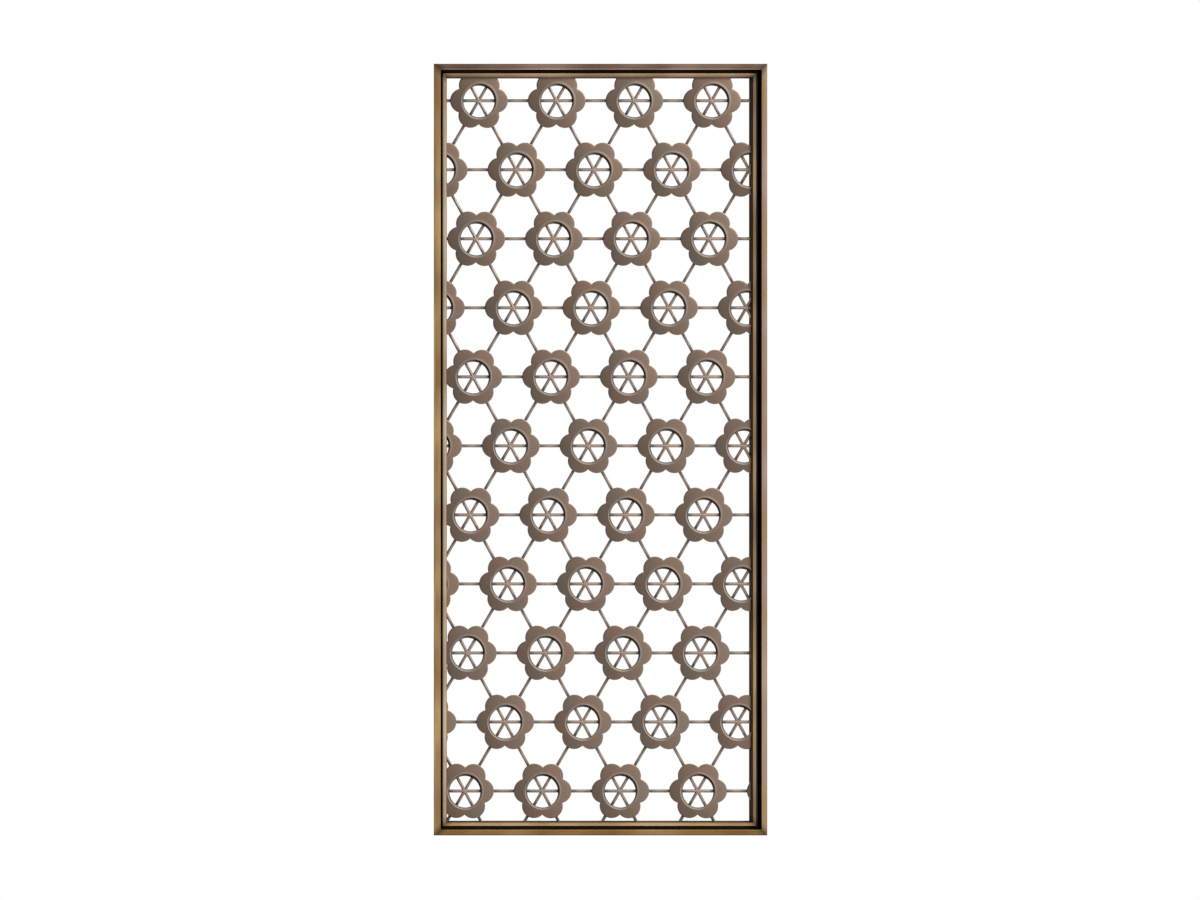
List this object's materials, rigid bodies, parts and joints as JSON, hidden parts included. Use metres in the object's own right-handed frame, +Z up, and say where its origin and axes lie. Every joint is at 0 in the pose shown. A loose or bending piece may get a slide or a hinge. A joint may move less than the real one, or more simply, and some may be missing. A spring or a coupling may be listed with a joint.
{
  "type": "lattice panel",
  "caption": "Tall aluminium screen panel: a cast lattice of rods and six-petalled rosettes in a mitred inner frame, set back in a flanged outer frame that fixes into a wall opening",
  "frame": {"origin": "the middle of the flat underside of the bottom frame member's body, where the panel rests on the sill of its opening", "axes": "+Z up along the panel's height, +X to the right across its width, +Y through its thickness away from the viewer, so that its face looks to -Y"},
  "size_m": [1.06, 0.0608, 2.4],
  "materials": {
    "outer_frame": "brushed antique-bronze anodised",
    "inner_frame": "brushed antique-bronze anodised",
    "lattice": "satin antique-bronze, as cast and rubbed"
  },
  "bodies": {
    "root": {"outer_frame_left": "outer_frame", "outer_frame_top": "outer_frame", "outer_frame_right": "outer_frame", "outer_frame_bottom": "outer_frame", "inner_frame_left": "inner_frame", "inner_frame_top": "inner_frame", "inner_frame_right": "inner_frame", "inner_frame_bottom": "inner_frame", "lattice": "lattice"}
  },
  "joints": []
}
